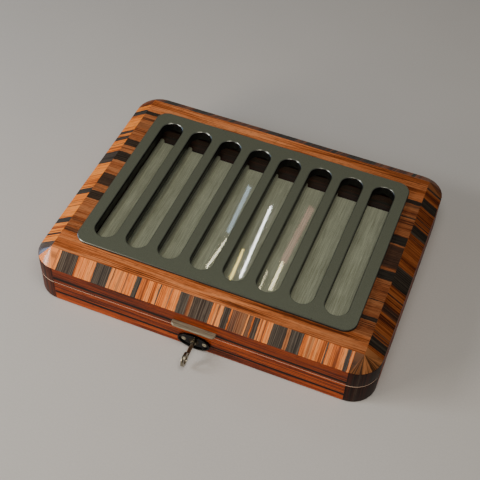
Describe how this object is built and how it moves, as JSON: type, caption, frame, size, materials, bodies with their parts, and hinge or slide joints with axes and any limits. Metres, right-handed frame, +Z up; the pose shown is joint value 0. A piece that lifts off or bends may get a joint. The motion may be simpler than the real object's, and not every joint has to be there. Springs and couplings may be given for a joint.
{
  "type": "pen display case",
  "caption": "Flat lacquered display box for pens: hinged chamfered lid with slot windows over a suede bed, pull tab, and a small key lock.",
  "frame": {"origin": "on the surface the case rests on, under the middle of the box's plan (the key, pull tab and hinge barrels stand out beyond it)", "axes": "+X along the row of pens (to the right as seen from the lock side), +Y towards the hinges, +Z up"},
  "size_m": [0.278, 0.2418, 0.0483],
  "materials": {
    "striped_veneer": "lacquered striped ebony veneer, high gloss",
    "dark_lining_wood": "dark stained wood, satin",
    "plywood": "birch plywood, sanded",
    "black_felt": "pressed felt",
    "suede": "olive grey suede",
    "anodised_plate": "fine blasted, anthracite anodised",
    "window_glass": "clear float glass, polished",
    "nickel_tab": "brushed nickel plate",
    "black_enamel": "gloss black enamel",
    "key_steel": "polished steel",
    "screw_steel": "bright zinc-plated steel",
    "plug_metal": "dark bronzed brass",
    "lock_brass": "satin brass"
  },
  "bodies": {
    "base": {"base_bottom_panel": "plywood", "base_felt": "black_felt", "base_rail_front": "striped_veneer", "base_rail_back": "striped_veneer", "base_rail_left": "striped_veneer", "base_rail_right": "striped_veneer", "base_corner_front_left": "striped_veneer", "base_corner_front_right": "striped_veneer", "base_corner_back_left": "striped_veneer", "base_corner_back_right": "striped_veneer", "tray_frame_front": "dark_lining_wood", "tray_frame_back": "dark_lining_wood", "tray_frame_left": "dark_lining_wood", "tray_frame_right": "dark_lining_wood", "tray_batten_left": "plywood", "tray_batten_middle": "plywood", "tray_batten_right": "plywood", "tray_board": "plywood", "pen_bed": "suede", "lock_case": "lock_brass", "lock_case_screws": "screw_steel", "lock_cover": "lock_brass", "lock_cover_screws": "screw_steel", "lock_escutcheon": "black_enamel", "escutcheon_screws": "screw_steel", "hinge_leaf_base_left": "lock_brass", "hinge_leaf_base_right": "lock_brass", "hinge_pin_left": "lock_brass", "hinge_pin_right": "lock_brass", "hinge_screws_base": "screw_steel"},
    "lid": {"lid_top_panel": "striped_veneer", "window_plate": "anodised_plate", "window_glass": "window_glass", "lid_rail_front": "striped_veneer", "lid_rail_back": "striped_veneer", "lid_rail_left": "striped_veneer", "lid_rail_right": "striped_veneer", "lid_corner_front_left": "striped_veneer", "lid_corner_front_right": "striped_veneer", "lid_corner_back_left": "striped_veneer", "lid_corner_back_right": "striped_veneer", "lid_lining_front": "dark_lining_wood", "lid_lining_back": "dark_lining_wood", "lid_lining_left": "dark_lining_wood", "lid_lining_right": "dark_lining_wood", "pull_tab": "nickel_tab", "pull_tab_screws": "screw_steel", "link_plate": "lock_brass", "link_plate_screws": "screw_steel", "hinge_leaf_lid_left": "lock_brass", "hinge_leaf_lid_right": "lock_brass", "hinge_screws_lid": "screw_steel"},
    "lock_plug": {"lock_plug": "plug_metal"},
    "lock_bolt": {"lock_bolt": "lock_brass"},
    "key": {"key": "key_steel"}
  },
  "joints": [
    {"name": "lid_hinge", "type": "hinge", "parent": "base", "child": "lid", "pos_m": [0, 0.10905, 0.02045], "axis": [-1, 0, 0], "range_deg": [0, 95]},
    {"name": "plug_turn", "type": "hinge", "parent": "base", "child": "lock_plug", "pos_m": [0, -0.1, 0.0094], "axis": [0, 1, 0], "range_deg": [0, 90]},
    {"name": "bolt_slide", "type": "slide", "parent": "base", "child": "lock_bolt", "axis": [1, 0, 0], "range_m": [0, 0.00566]},
    {"name": "key_pull", "type": "slide", "parent": "lock_plug", "child": "key", "axis": [0, -1, 0], "range_m": [0, 0.02]}
  ],
  "couplings": [
    {"joint": "plug_turn", "follows": "bolt_slide", "rad_per_m": 277.68}
  ]
}
